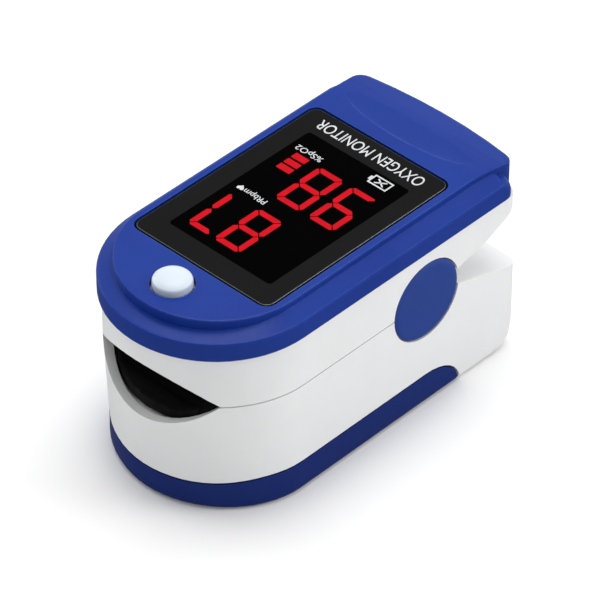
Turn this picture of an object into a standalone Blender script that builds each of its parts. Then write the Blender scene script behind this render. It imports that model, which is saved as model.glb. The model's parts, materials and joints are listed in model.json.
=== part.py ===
"""Fingertip pulse oximeter: a sprung clip in two halves, with its display, sensor and batteries.

Right is +X, the finger goes in from -Y, and the device stands on z = 0. Lengths are in millimetres
and become metres when a mesh is made.
"""

import math

import bmesh
import bpy
from mathutils import Matrix, Vector

MM = 0.001

# Outside of the device
LID_HALF_WIDTH = 15.7
BODY_HALF_WIDTH = 15.43
NOSE_Y = -13.6
LID_REAR_Y = 30.1
LOWER_REAR_Y = 29.1
UPPER_REAR_Y = 28.5
REAR_CORNER = 2.4
NOSE_LENGTH = 15.2
NOSE_TAPER = 0.08
BODY_POWER = 1.92
WALL = 1.3
GAP = 0.3

# Heights
COVER_TOP_Z = 4.95
DECK_LOW_Z = 12.1
DECK_TOP_Z = 13.1
PARTING_Z = 18.3
PARTING_GAP = 0.2
CEILING_Z = 25.2
SHELL_TOP_Z = 26.35
LID_LOW_Z = 26.65
LEDGE_Z = 29.6
LID_TOP_Z = 31.65

# Top cover
LEDGE_EDGE = 0.5
SHOULDER_Z = 30.7
SHOULDER_HALF_WIDTH = 13.5
SHOULDER_NOSE = 9.0
TIER_REAR_Y = 25.7
TIER_REAR_ROUND = (1.8, 2.6)
TIER_CORNER = 2.0
PLATEAU_HALF_WIDTH = 13.6
PLATEAU_NOSE = 13.4
PLATEAU_EDGE = 0.3
PLATEAU_CORNER = 1.6
REAR_CROWN = 1.5
TONGUE_START_Y = 19.0
TONGUE_DROP = 1.3
TONGUE_FLARE = 0.05
LID_WALL = 1.4
LID_INNER_LEDGE_Z = 28.6
LID_INNER_TOP_Z = 30.45

# Display window
WINDOW_HALF_WIDTH = 12.2
WINDOW_Y = (-16.9, 17.9)
WINDOW_Z = (30.25, 31.6)
WINDOW_CORNER = 1.3
WINDOW_GAP = 0.35

# Power button
BUTTON_Y = -21.7
BUTTON_RADIUS = 2.72
BUTTON_TOP_Z = 33.0
BUTTON_FLANGE_RADIUS = 3.5
DISH_RADIUS = 4.8
DISH_DEPTH = 0.15

# Thumb rest behind the window
REST_Y = 24.0
REST_RADII = (12.0, 3.6, 0.35)

# Hinge
HINGE_Y = 10.2
HINGE_Z = 18.3
CAP_RADIUS = 6.12
CAP_POCKET_RADIUS = 6.3
CAP_X = (14.75, 15.7)
POCKET_X = 14.5
LOWER_EAR_RADIUS = 4.6
LOWER_EAR_X = (13.2, 14.45)
UPPER_EAR_RADIUS = 4.2
UPPER_EAR_X = (11.6, 12.8)
PIN_RADIUS = 0.9
PIN_HALF_LENGTH = 14.3
COIL_RADIUS = 1.9
COIL_WIRE = 0.3
COIL_X = (7.6, 10.8)
COIL_TURNS = 3
LEG_LENGTH = 9.0

# Finger channel
CHANNEL_Z = 18.4
LIP_LOW_Z = 15.2
LIP_FLAT = 6.2
LIP_SLOPE = 0.7
LIP_BLEND = 0.6
ARCH_TOP_Z = 23.05
ARCH_RADIUS = 14.8
CHANNEL_HALF_WIDTH = 10.9
MOUTH_LOW_Z = 13.4
MOUTH_RADIUS = 14.2
CHANNEL_Y = (-40.0, -26.0, -14.0, -6.0, 0.0, 2.6, 3.6)
CHANNEL_SCALE = (1.0, 1.0, 0.99, 0.95, 0.88, 0.74, 0.5)
WELL_REAR_Y = 4.5
SENSOR_Y = -11.5

# Hinge bay, between the finger stop and the squeeze end
HINGE_BAY_Y = (5.5, 15.5)

# Battery bay and cells
BAY_HALF_WIDTH = 11.2
BAY_Y = (-21.6, 27.2)
BAY_FLOOR_Z = 1.3
CELL_RADIUS = 5.25
CELL_LENGTH = 43.5
CELL_NUB = (1.9, 1.0)
CELL_X = 5.45
CELL_Z = 6.6
COVER_FLOOR = 1.0
COVER_END = (10.4, 0.1)
COVER_END_RADII = (6.6, 4.85)
COVER_DIP = 0.85
COVER_DIP_Y = (-27.5, -18.0)

# Cover screws
SCREW_X = 10.2
SCREW_Y = 19.6

# Circuit board
BOARD_Z = (26.6, 27.4)

# The frame's origin is midway between the nose and the tongue
FRAME_Y = (LID_HALF_WIDTH - NOSE_Y - LID_REAR_Y) / 2

NOSE_STEPS = 32
CORNER_STEPS = 4


def start_scene():
    """Empty the scene and make the collections for the parts and for the cutters."""
    for old in list(bpy.data.objects):
        bpy.data.objects.remove(old)
    for name in ("pulse_oximeter", "cutters"):
        collection = bpy.data.collections.new(name)
        bpy.context.scene.collection.children.link(collection)


def add_object(name, data, material=None):
    """Put data in the scene: as a part when it has a material, and as a cutter when it has none."""
    thing = bpy.data.objects.new(name, data)
    if material is None:
        bpy.data.collections["cutters"].objects.link(thing)
        thing.hide_render = True
        thing.display_type = "WIRE"
    else:
        bpy.data.collections["pulse_oximeter"].objects.link(thing)
        data.materials.append(material)
    return thing


def material(name, colour, roughness, metallic=0.0):
    """A Principled material with a plain colour."""
    made = bpy.data.materials.new(name)
    made.use_nodes = True
    shader = made.node_tree.nodes["Principled BSDF"]
    shader.inputs["Base Color"].default_value = (*colour, 1.0)
    shader.inputs["Roughness"].default_value = roughness
    shader.inputs["Metallic"].default_value = metallic
    return made


def shade_smooth(thing, angle=35.0):
    """Smooth shading that keeps edges sharper than the angle."""
    thing.data.shade_smooth()
    thing.data.set_sharp_from_angle(angle=math.radians(angle))


def box(name, low, high, made_of=None, edge=0.0):
    """A block between two corners, its edges rounded by edge."""
    centre = (Vector(low) + Vector(high)) / 2
    size = Vector(high) - Vector(low)
    mesh = bpy.data.meshes.new(name)
    shape = bmesh.new()
    bmesh.ops.create_cube(shape, size=1.0, matrix=Matrix.Diagonal((*(size * MM), 1.0)))
    shape.to_mesh(mesh)
    shape.free()
    block = add_object(name, mesh, made_of)
    block.location = centre * MM
    if edge:
        rounding = block.modifiers.new("Rounding", "BEVEL")
        rounding.width = edge * MM
        rounding.segments = 2
    return block


def cylinder(name, radius, low, high, made_of=None, segments=32, end_radius=None):
    """A round bar, or a cone, along the axis that the points low and high share."""
    low = Vector(low) * MM
    high = Vector(high) * MM
    along = high - low
    mesh = bpy.data.meshes.new(name)
    shape = bmesh.new()
    bmesh.ops.create_cone(
        shape,
        cap_ends=True,
        segments=segments,
        radius1=radius * MM,
        radius2=(radius if end_radius is None else end_radius) * MM,
        depth=along.length,
    )
    shape.to_mesh(mesh)
    shape.free()
    bar = add_object(name, mesh, made_of)
    bar.location = (low + high) / 2
    bar.rotation_euler = along.to_track_quat("Z", "Y").to_euler()
    if made_of:
        shade_smooth(bar)
    return bar


def curve_mesh(name, curve, location, rotation, made_of):
    """The closed mesh of a curve, standing where the curve would."""
    guide = bpy.data.objects.new(name + "_curve", curve)
    bpy.context.scene.collection.objects.link(guide)
    guide.location = location
    guide.rotation_euler = rotation
    bpy.context.view_layer.update()
    seen = guide.evaluated_get(bpy.context.evaluated_depsgraph_get())
    mesh = bpy.data.meshes.new_from_object(seen)
    mesh.name = name
    shape = bmesh.new()
    shape.from_mesh(mesh)
    bmesh.ops.remove_doubles(shape, verts=shape.verts, dist=0.000001)
    bmesh.ops.recalc_face_normals(shape, faces=shape.faces)
    shape.to_mesh(mesh)
    shape.free()
    mesh.materials.clear()
    thing = add_object(name, mesh, made_of)
    thing.matrix_world = guide.matrix_world
    bpy.data.objects.remove(guide)
    return thing


def plate(name, points, thickness, location, rotation=(0.0, 0.0, 0.0), made_of=None):
    """A flat plate with the given outline, centred on its location."""
    curve = bpy.data.curves.new(name, "CURVE")
    curve.dimensions = "2D"
    curve.fill_mode = "BOTH"
    curve.extrude = thickness * MM / 2
    spline = curve.splines.new("POLY")
    spline.points.add(len(points) - 1)
    for point, (across, up) in zip(spline.points, points):
        point.co = (across * MM, up * MM, 0.0, 1.0)
    spline.use_cyclic_u = True
    return curve_mesh(name, curve, Vector(location) * MM, rotation, made_of)


def side_prism(name, points, half_width):
    """A cutter across the device, from an outline in Y and Z."""
    upright = (math.radians(90), 0.0, math.radians(90))
    return plate(name, points, 2 * half_width, (0, 0, 0), upright)


def wire(name, points, radius, made_of):
    """A round wire through the points."""
    curve = bpy.data.curves.new(name, "CURVE")
    curve.dimensions = "3D"
    curve.bevel_depth = radius * MM
    curve.bevel_resolution = 2
    curve.use_fill_caps = True
    spline = curve.splines.new("POLY")
    spline.points.add(len(points) - 1)
    for point, place in zip(spline.points, points):
        point.co = (*(Vector(place) * MM), 1.0)
    thing = curve_mesh(name, curve, (0, 0, 0), (0, 0, 0), made_of)
    shade_smooth(thing, 60.0)
    return thing


def turned(name, profile, location, made_of, axis=(0, 0, 1), steps=36):
    """A solid turned about the axis through location; the profile is (radius, height), top to bottom."""
    mesh = bpy.data.meshes.new(name)
    shape = bmesh.new()
    corners = [shape.verts.new((radius * MM, 0.0, height * MM)) for radius, height in profile]
    for first, second in zip(corners, corners[1:]):
        shape.edges.new((first, second))
    shape.to_mesh(mesh)
    shape.free()
    solid = add_object(name, mesh, made_of)
    solid.location = Vector(location) * MM
    solid.rotation_euler = Vector(axis).to_track_quat("Z", "Y").to_euler()
    screw = solid.modifiers.new("Turn", "SCREW")
    screw.steps = steps
    screw.render_steps = steps
    screw.use_merge_vertices = True
    screw.merge_threshold = 0.000001
    screw.use_smooth_shade = True
    return solid


def loft(name, rings, made_of=None):
    """A closed body through rings of equally many (x, y, z) points."""
    mesh = bpy.data.meshes.new(name)
    shape = bmesh.new()
    rows = [[shape.verts.new(Vector(point) * MM) for point in ring] for ring in rings]
    for low, high in zip(rows, rows[1:]):
        for here in range(len(low)):
            after = (here + 1) % len(low)
            shape.faces.new((low[here], low[after], high[after], high[here]))
    shape.faces.new(rows[0])
    shape.faces.new(rows[-1])
    bmesh.ops.recalc_face_normals(shape, faces=shape.faces)
    shape.to_mesh(mesh)
    shape.free()
    return add_object(name, mesh, made_of)


def boolean(target, tool, operation):
    """Add an exact boolean of the target with the tool."""
    step = target.modifiers.new(tool.name, "BOOLEAN")
    step.operation = operation
    step.solver = "EXACT"
    step.object = tool


def cut(target, *tools):
    """Take each tool out of the target."""
    for tool in tools:
        boolean(target, tool, "DIFFERENCE")


def add(target, *tools):
    """Join each tool to the target."""
    for tool in tools:
        boolean(target, tool, "UNION")


def ring(z, half_width, nose_length, rear_y, corner, power=2.0, crown=0.0):
    """The device's outline at one height: a round nose, straight sides and a rear with round corners."""
    rear = []
    for side, start in ((1, 0.0), (-1, 90.0)):
        for step in range(CORNER_STEPS + 1):
            angle = math.radians(start + 90.0 * step / CORNER_STEPS)
            x = side * (half_width - corner) + corner * math.cos(angle)
            rear.append((x, rear_y - corner + corner * math.sin(angle)))
        if side == 1:
            rear += [(half_width * share, rear_y) for share in (0.6, 0.3, 0.0, -0.3, -0.6)]
    points = [(x, y - crown * (x / half_width) ** 2, z) for x, y in rear]
    for step in range(NOSE_STEPS + 1):
        angle = math.radians(180.0 + 180.0 * step / NOSE_STEPS)
        across = abs(math.cos(angle))
        along = abs(math.sin(angle))
        reach = (across**power + along**power) ** (-1 / power)
        x = half_width * reach * math.cos(angle)
        points.append((x, NOSE_Y + nose_length * reach * math.sin(angle), z))
    return points


def rounding(distance, radius):
    """How far a round edge has drawn in, at a distance from the plane that it meets."""
    if distance >= radius:
        return 0.0
    return radius - math.sqrt(radius**2 - (radius - distance) ** 2)


def body_ring(z, inset=0.0, rear_y=LOWER_REAR_Y, corner=REAR_CORNER):
    """Outline of the two shells at one height; the nose draws in below the parting line."""
    nose = NOSE_LENGTH - NOSE_TAPER * (PARTING_Z - min(max(z, COVER_TOP_Z), PARTING_Z))
    return ring(z, BODY_HALF_WIDTH - inset, nose - inset, rear_y, corner, BODY_POWER)


def lower_block(name, top_z, made_of=None):
    """Outside of the lower half up to a height, with its round bottom edges."""
    edge = 0.9
    rear_radius = 3.4
    heights = [0.0, 0.2, 0.9, 2.0, 3.4, COVER_TOP_Z, top_z]
    rings = []
    for z in heights:
        rear_y = LOWER_REAR_Y - rounding(z, rear_radius)
        rings.append(body_ring(z, rounding(z, edge), rear_y))
    return loft(name, rings, made_of)


def cover_zone(name, gap):
    """What the battery cover takes from the bottom, seen from the side, grown by a gap."""
    end_y, end_z = COVER_END
    reach_y, reach_z = COVER_END_RADII
    steps = 8
    points = [(-40.0, -5.0), (end_y + reach_y + gap, -5.0)]
    for step in range(steps + 1):
        angle = math.radians(90.0 * step / steps)
        points.append((end_y + (reach_y + gap) * math.cos(angle), end_z + (reach_z + gap) * math.sin(angle)))
    low_y, high_y = COVER_DIP_Y
    for step in range(steps + 1):
        share = step / steps
        dip = COVER_DIP * (3 * share**2 - 2 * share**3)
        points.append((high_y + (low_y - high_y) * share, COVER_TOP_Z + gap - dip))
    points.append((-40.0, COVER_TOP_Z + gap - COVER_DIP))
    return side_prism(name, points, 20.0)


def finger_channel():
    """The space for the finger: a flat-bottomed trough under an arch, closing at the finger stop."""
    steps = 20
    profile = []
    for step in range(steps + 1):
        x = CHANNEL_HALF_WIDTH * (2 * step / steps - 1)
        rise = LIP_SLOPE * LIP_BLEND * math.log(1 + math.exp((abs(x) - LIP_FLAT) / LIP_BLEND))
        profile.append((x, min(LIP_LOW_Z + rise, CHANNEL_Z)))
    for step in range(1, steps):
        x = CHANNEL_HALF_WIDTH * (1 - 2 * step / steps)
        drop = ARCH_RADIUS - math.sqrt(ARCH_RADIUS**2 - x**2)
        profile.append((x, max(ARCH_TOP_Z - drop, CHANNEL_Z)))
    rings = []
    for y, scale in zip(CHANNEL_Y, CHANNEL_SCALE):
        rings.append([(x * scale, y, CHANNEL_Z + (z - CHANNEL_Z) * scale) for x, z in profile])
    return loft("finger_channel", rings)


def lower_lip():
    """What the mouth takes from the top of the lower nose wall: a shallow curve, deepest in the middle."""
    steps = 20
    outline = [(CHANNEL_HALF_WIDTH, CHANNEL_Z + 2.0), (-CHANNEL_HALF_WIDTH, CHANNEL_Z + 2.0)]
    for step in range(steps + 1):
        x = CHANNEL_HALF_WIDTH * (2 * step / steps - 1)
        rise = MOUTH_RADIUS - math.sqrt(MOUTH_RADIUS**2 - x**2)
        outline.append((x, min(MOUTH_LOW_Z + rise, CHANNEL_Z)))
    return plate("lower_lip", outline, 16.0, (0, -28.0, 0), (math.radians(90), 0.0, 0.0))


def across(name, radius, low_x, high_x, made_of=None, segments=32):
    """A round bar along the hinge axis."""
    low = (low_x, HINGE_Y, HINGE_Z)
    high = (high_x, HINGE_Y, HINGE_Z)
    return cylinder(name, radius, low, high, made_of, segments)


def pad_well(name, low_z, high_z):
    """The room inside a shell for its finger pad."""
    rings = [body_ring(z, WALL, WELL_REAR_Y, 1.0) for z in (low_z, high_z)]
    return loft(name, rings)


def lower_shell(plastic, channel):
    """White lower half: nose wall, battery bay, deck under the pad, hinge ears and squeeze end."""
    shell = lower_block("lower_shell", PARTING_Z - PARTING_GAP / 2, plastic)
    ramp = side_prism("lower_ramp", [(13.98, 18.2), (31.0, 12.93), (31.0, 25.0), (13.98, 25.0)], 20.0)
    bay = box("battery_bay", (-BAY_HALF_WIDTH, BAY_Y[0], BAY_FLOOR_Z), (BAY_HALF_WIDTH, BAY_Y[1], DECK_LOW_Z))
    well = pad_well("lower_pad_well", DECK_TOP_Z, 20.0)
    hinge_bay = box("lower_hinge_bay", (-13.1, HINGE_BAY_Y[0], DECK_TOP_Z), (13.1, HINGE_BAY_Y[1], 20.0))
    slot = box("flex_slot", (-2.9, 4.0, DECK_TOP_Z), (2.9, 6.0, 14.1))
    cut(shell, ramp, cover_zone("cover_seat", GAP), bay, well, hinge_bay, slot, channel, lower_lip())
    for side, tag in ((-1, "left"), (1, "right")):
        low_x, high_x = sorted((side * 12.5, side * 14.0))
        core = box("core_" + tag, (low_x, -11.0, -1.0), (high_x, 15.5, 11.8))
        low_x, high_x = sorted((side * POCKET_X, side * 18.0))
        pocket = across("lower_pocket_" + tag, CAP_POCKET_RADIUS, low_x, high_x, segments=48)
        low_x, high_x = sorted(side * x for x in LOWER_EAR_X)
        ear = across("lower_ear_" + tag, LOWER_EAR_RADIUS, low_x, high_x, segments=40)
        cut(shell, core, pocket)
        add(shell, ear)
    cut(shell, across("lower_pin_hole", PIN_RADIUS + GAP, -16.0, 16.0, segments=24))
    return shell


def battery_cover(plastic):
    """Blue battery cover: a tray that wraps the nose and slides off forwards."""
    cover = lower_block("battery_cover", COVER_TOP_Z + 3.0, plastic)
    boolean(cover, cover_zone("cover_outline", 0.0), "INTERSECT")
    rings = [body_ring(z, WALL, 36.0) for z in (COVER_FLOOR, 20.0)]
    cut(cover, loft("cover_tray", rings))
    return cover


def upper_shell(plastic, channel):
    """White upper half: nose wall, deck under the board, hinge ears and squeeze end."""
    low_z = PARTING_Z + PARTING_GAP / 2
    rings = [body_ring(z, 0.0, UPPER_REAR_Y) for z in (low_z, SHELL_TOP_Z)]
    shell = loft("upper_shell", rings, plastic)
    under = [(10.0, 10.0), (10.0, 18.35), (12.0, 19.2), (16.25, 20.15), (22.1, 21.5), (31.0, 25.4)]
    under.append((31.0, 10.0))
    above = [(17.3, 21.9), (22.1, 22.95), (27.0, 25.05), (27.0, 30.0), (17.3, 30.0)]
    ramp = side_prism("upper_ramp", under, 20.0)
    tail = side_prism("upper_tail_room", above, 13.9)
    well = pad_well("upper_pad_well", 15.0, CEILING_Z)
    hinge_bay = box("upper_hinge_bay", (-13.9, HINGE_BAY_Y[0], 15.0), (13.9, 16.0, CEILING_Z))
    slot = box("deck_slot", (-2.9, 6.4, 24.0), (2.9, 8.3, 28.0))
    cut(shell, ramp, tail, well, hinge_bay, slot, channel)
    for side, tag in ((-1, "left"), (1, "right")):
        low_x, high_x = sorted((side * POCKET_X, side * 18.0))
        pocket = across("upper_pocket_" + tag, CAP_POCKET_RADIUS, low_x, high_x, segments=48)
        low_x, high_x = sorted((side * 12.95, side * 18.0))
        clearance = across("ear_clearance_" + tag, LOWER_EAR_RADIUS + GAP, low_x, high_x, segments=40)
        cut(shell, pocket, clearance)
        low_x, high_x = sorted(side * x for x in UPPER_EAR_X)
        ear = across("upper_ear_" + tag, UPPER_EAR_RADIUS, low_x, high_x, segments=40)
        reach = UPPER_EAR_RADIUS
        high = (high_x, HINGE_Y + reach, CEILING_Z + 0.5)
        web = box("ear_web_" + tag, (low_x, HINGE_Y - reach, HINGE_Z), high)
        centre = (side * SCREW_X, SCREW_Y)
        boss = cylinder("shell_boss_" + tag, 3.0, (*centre, 22.0), (*centre, SHELL_TOP_Z))
        sink = cylinder("screw_sink_" + tag, 2.0, (*centre, 15.0), (*centre, 23.6))
        hole = cylinder("screw_hole_" + tag, 1.1, (*centre, 20.0), (*centre, 28.0), segments=20)
        add(shell, ear, web, boss)
        cut(shell, sink, hole)
    cut(shell, across("upper_pin_hole", PIN_RADIUS + GAP, -13.0, 13.0, segments=24))
    return shell


def tier(made_of):
    """Lower step of the top cover: a ledge that climbs to the plateau's sides and ends in a rear nose."""
    heights = [LID_LOW_Z, 27.4, 28.3, 29.1, 29.25, 29.45, LEDGE_Z]
    reach_y, reach_z = TIER_REAR_ROUND
    rings = []
    for z in heights:
        inset = rounding(LEDGE_Z - z, LEDGE_EDGE)
        lift = max(0.0, z - (LEDGE_Z - reach_z)) / reach_z
        rear_y = TIER_REAR_Y + reach_y * math.sqrt(max(0.0, 1 - lift**2))
        rings.append(ring(z, LID_HALF_WIDTH - inset, LID_HALF_WIDTH - inset, rear_y, TIER_CORNER))
    rings.append(ring(SHOULDER_Z, SHOULDER_HALF_WIDTH, SHOULDER_NOSE, TIER_REAR_Y, TIER_CORNER))
    return loft("top_cover", rings, made_of)


def plateau():
    """Upper step of the top cover, whose tongue reaches the rear."""
    heights = [LID_LOW_Z, 31.35, 31.45, 31.55, LID_TOP_Z]
    rings = []
    for z in heights:
        inset = rounding(LID_TOP_Z - z, PLATEAU_EDGE)
        half_width = PLATEAU_HALF_WIDTH - inset
        nose = PLATEAU_NOSE - inset
        rings.append(ring(z, half_width, nose, LID_REAR_Y - inset, PLATEAU_CORNER, crown=REAR_CROWN))
    step = loft("plateau", rings)
    bend_tongue(step.data)
    return step


def bend_tongue(mesh):
    """Let the plateau's top fall and its sides widen towards the rear."""
    shape = bmesh.new()
    shape.from_mesh(mesh)
    for y in (20.5, 22.0, 23.5, 25.0, 26.5):
        everything = shape.verts[:] + shape.edges[:] + shape.faces[:]
        bmesh.ops.bisect_plane(shape, geom=everything, plane_co=(0, y * MM, 0), plane_no=(0, 1, 0))
    for point in shape.verts:
        share = max(0.0, point.co.y / MM - TONGUE_START_Y) / (LID_REAR_Y - TONGUE_START_Y)
        height = (point.co.z / MM - LID_LOW_Z) / (LID_TOP_Z - LID_LOW_Z)
        point.co.z -= TONGUE_DROP * MM * height * share**2
        point.co.x *= 1 + TONGUE_FLARE * share**2
    shape.to_mesh(mesh)
    shape.free()


def rounded_rectangle(low, high, corner, steps=4):
    """Outline of a rectangle with round corners, anticlockwise."""
    points = []
    centres = ((high[0] - corner, high[1] - corner), (low[0] + corner, high[1] - corner))
    centres += ((low[0] + corner, low[1] + corner), (high[0] - corner, low[1] + corner))
    for quarter, (x, y) in enumerate(centres):
        for step in range(steps + 1):
            angle = math.radians(90.0 * quarter + 90.0 * step / steps)
            points.append((x + corner * math.cos(angle), y + corner * math.sin(angle)))
    return points


def top_cover(plastic):
    """Blue two-step top cover with the window's recess and the button's hole."""
    cover = tier(plastic)
    inner = LID_HALF_WIDTH - LID_WALL
    tier_room = loft("tier_room", [ring(z, inner, inner, 25.4, 1.0) for z in (20.0, LID_INNER_LEDGE_Z)])
    inner = PLATEAU_HALF_WIDTH - LID_WALL
    plateau_room = loft("plateau_room", [ring(z, inner, inner, 25.0, 1.0) for z in (20.0, LID_INNER_TOP_Z)])
    add(cover, plateau())
    cut(cover, thumb_rest(), tier_room, plateau_room)
    for side, tag in ((-1, "left"), (1, "right")):
        centre = (side * SCREW_X, SCREW_Y)
        boss = cylinder("lid_boss_" + tag, 2.2, (*centre, LID_LOW_Z), (*centre, 30.7))
        hole = cylinder("lid_hole_" + tag, 1.1, (*centre, 25.0), (*centre, 29.3), segments=20)
        add(cover, boss)
        cut(cover, hole)
    reach = WINDOW_HALF_WIDTH + WINDOW_GAP
    low = (-reach, WINDOW_Y[0] - WINDOW_GAP)
    high = (reach, WINDOW_Y[1] + WINDOW_GAP)
    outline = rounded_rectangle(low, high, WINDOW_CORNER + WINDOW_GAP)
    depth = 4.0
    recess = plate("window_recess", outline, depth, (0, 0, WINDOW_Z[0] - WINDOW_GAP + depth / 2))
    hole = cylinder("button_hole", BUTTON_RADIUS + GAP, (0, BUTTON_Y, 28.0), (0, BUTTON_Y, 34.0), segments=40)
    dish_low = (0, BUTTON_Y, LID_TOP_Z - DISH_DEPTH)
    dish_high = (0, BUTTON_Y, LID_TOP_Z + DISH_DEPTH)
    slope = DISH_RADIUS - BUTTON_RADIUS
    dish = cylinder("button_dish", BUTTON_RADIUS, dish_low, dish_high, None, 40, DISH_RADIUS + slope)
    cut(cover, recess, dish, hole)
    return cover


def thumb_rest():
    """Shallow oval scoop behind the window."""
    mesh = bpy.data.meshes.new("thumb_rest")
    shape = bmesh.new()
    bmesh.ops.create_uvsphere(shape, u_segments=32, v_segments=12, radius=1.0)
    bmesh.ops.scale(shape, verts=shape.verts, vec=Vector(REST_RADII) * MM)
    shape.to_mesh(mesh)
    shape.free()
    scoop = add_object("thumb_rest", mesh)
    scoop.location = Vector((0, REST_Y, LID_TOP_Z - 0.12)) * MM
    return scoop


def display(window_plastic, module_plastic):
    """Dark window, and the LED display block under it."""
    low = (-WINDOW_HALF_WIDTH, WINDOW_Y[0])
    high = (WINDOW_HALF_WIDTH, WINDOW_Y[1])
    outline = rounded_rectangle(low, high, WINDOW_CORNER)
    middle = sum(WINDOW_Z) / 2
    thickness = WINDOW_Z[1] - WINDOW_Z[0]
    window = plate("display_window", outline, thickness, (0, 0, middle), made_of=window_plastic)
    edge = window.modifiers.new("Rounding", "BEVEL")
    edge.width = 0.15 * MM
    edge.segments = 2
    edge.angle_limit = math.radians(60)
    module = box("display_module", (-10.9, -15.8, 27.6), (10.9, 16.6, 30.0), module_plastic, 0.3)
    return [window, module]


def pads(rubber, channel):
    """Soft finger pads, each with an opening for its half of the sensor."""
    lower = pad_block("lower_pad", 13.3, PARTING_Z - 0.3, rubber)
    upper = pad_block("upper_pad", PARTING_Z + 0.3, CEILING_Z - 0.25, rubber)
    groove = box("flex_groove", (-2.9, SENSOR_Y, 12.0), (2.9, 6.0, 13.9))
    cut(lower, channel, groove, *sensor_openings("lower", 12.0, 14.0))
    cut(upper, channel, *sensor_openings("upper", 24.3, 26.0))
    return lower, upper


def pad_block(name, low_z, high_z, rubber):
    """A pad before its channel is cut, clear of the shell around it."""
    rings = [body_ring(z, WALL + GAP, WELL_REAR_Y - GAP, 0.8) for z in (low_z, high_z)]
    return loft(name, rings, rubber)


def sensor_openings(tag, low_z, high_z):
    """Room for a sensor board, and the window through the pad."""
    board = box(tag + "_board_room", (-4.3, SENSOR_Y - 4.3, low_z), (4.3, SENSOR_Y + 4.3, high_z))
    window = box(tag + "_window_room", (-3.2, SENSOR_Y - 3.2, 12.0), (3.2, SENSOR_Y + 3.2, 26.0))
    return board, window


def sensor(board_green, chip_black, led_white, clear):
    """Emitter above and detector below, each a board, a chip and a clear window."""
    y = SENSOR_Y
    lower = [
        box("detector_board", (-4.0, y - 4.0, 13.35), (4.0, y + 4.0, 13.75), board_green),
        box("photodiode", (-1.6, y - 1.6, 13.95), (1.6, y + 1.6, 14.4), chip_black),
        box("detector_window", (-2.9, y - 2.9, 14.6), (2.9, y + 2.9, 14.95), clear, 0.1),
    ]
    upper = [
        box("emitter_board", (-4.0, y - 4.0, 24.55), (4.0, y + 4.0, 24.95), board_green),
        box("emitter_led", (-1.6, y - 1.6, 23.9), (1.6, y + 1.6, 24.35), led_white, 0.1),
        box("emitter_window", (-2.9, y - 2.9, 23.35), (2.9, y + 2.9, 23.7), clear, 0.1),
    ]
    return lower, upper


def main_board(board_green, chip_black, metal):
    """Circuit board on the upper deck, with its controller and its switch."""
    outline = [(x, y) for x, y, z in ring(0.0, 13.2, 13.2, 16.8, 0.8)]
    middle = sum(BOARD_Z) / 2
    board = plate("main_board", outline, BOARD_Z[1] - BOARD_Z[0], (0, 0, middle), made_of=board_green)
    chip = box("controller_chip", (-9.2, -21.9, 27.6), (-4.7, -17.4, 28.4), chip_black, 0.1)
    switch = box("tact_switch", (-2.5, BUTTON_Y - 2.5, 27.6), (2.5, BUTTON_Y + 2.5, 28.7), metal)
    cut(switch, cylinder("switch_well", 1.3, (0, BUTTON_Y, 27.9), (0, BUTTON_Y, 30.0), segments=24))
    return [board, chip, switch]


def switch_plunger(plastic):
    """Small plunger that the button presses into the switch."""
    return cylinder("switch_plunger", 1.0, (0, BUTTON_Y, 28.25), (0, BUTTON_Y, 29.3), plastic, 24)


def power_button(plastic):
    """Domed round button, held under the cover by its flange; its origin is on its axis."""
    top = BUTTON_TOP_Z
    dome = [(0.0, top), (0.9, top - 0.04), (1.7, top - 0.17), (2.25, top - 0.38), (2.6, top - 0.65)]
    side = [(BUTTON_RADIUS, top - 1.0), (BUTTON_RADIUS, 30.15), (BUTTON_FLANGE_RADIUS, 30.15)]
    stem = [(BUTTON_FLANGE_RADIUS, 29.8), (1.0, 29.8), (1.0, 29.6), (0.0, 29.6)]
    profile = [(radius, z - 30.0) for radius, z in dome + side + stem]
    return turned("power_button", profile, (0, BUTTON_Y, 30.0), plastic)


def hinge(steel, plastic):
    """Pin, two caps and two torsion springs on the hinge axis."""
    made = [across("hinge_pin", PIN_RADIUS, -PIN_HALF_LENGTH, PIN_HALF_LENGTH, steel, 24)]
    depth = CAP_X[1] - CAP_X[0]
    face = [(0.0, 0.0), (3.4, -0.03), (5.3, -0.1), (5.75, -0.17), (CAP_RADIUS, -0.4)]
    back = [(CAP_RADIUS, -depth), (0.0, -depth)]
    for side, tag in ((-1, "left"), (1, "right")):
        place = (side * CAP_X[1], HINGE_Y, HINGE_Z)
        made.append(turned("hinge_cap_" + tag, face + back, place, plastic, (side, 0, 0), 48))
        made.append(wire("torsion_spring_" + tag, torsion_points(side), COIL_WIRE, steel))
    return made


def torsion_points(side):
    """Route of a torsion spring: one leg along the lower ramp, the coil, one leg under the upper ramp."""
    steps_a_turn = 8
    start = 72.8
    end = -66.0
    turn = 360.0 * COIL_TURNS + (start - end)
    steps = round(steps_a_turn * turn / 360.0)
    points = []
    for step in range(steps + 1):
        share = step / steps
        angle = math.radians(start - turn * share)
        x = side * (COIL_X[0] + (COIL_X[1] - COIL_X[0]) * share)
        points.append((x, HINGE_Y + COIL_RADIUS * math.cos(angle), HINGE_Z + COIL_RADIUS * math.sin(angle)))
    lower_leg = leg_end(points[0], start - 90.0)
    upper_leg = leg_end(points[-1], end + 90.0)
    return [lower_leg, *points, upper_leg]


def leg_end(start, angle):
    """Tip of a straight spring leg that leaves the coil towards the squeeze end."""
    x, y, z = start
    turn = math.radians(angle)
    return (x, y + LEG_LENGTH * math.cos(turn), z + LEG_LENGTH * math.sin(turn))


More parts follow.
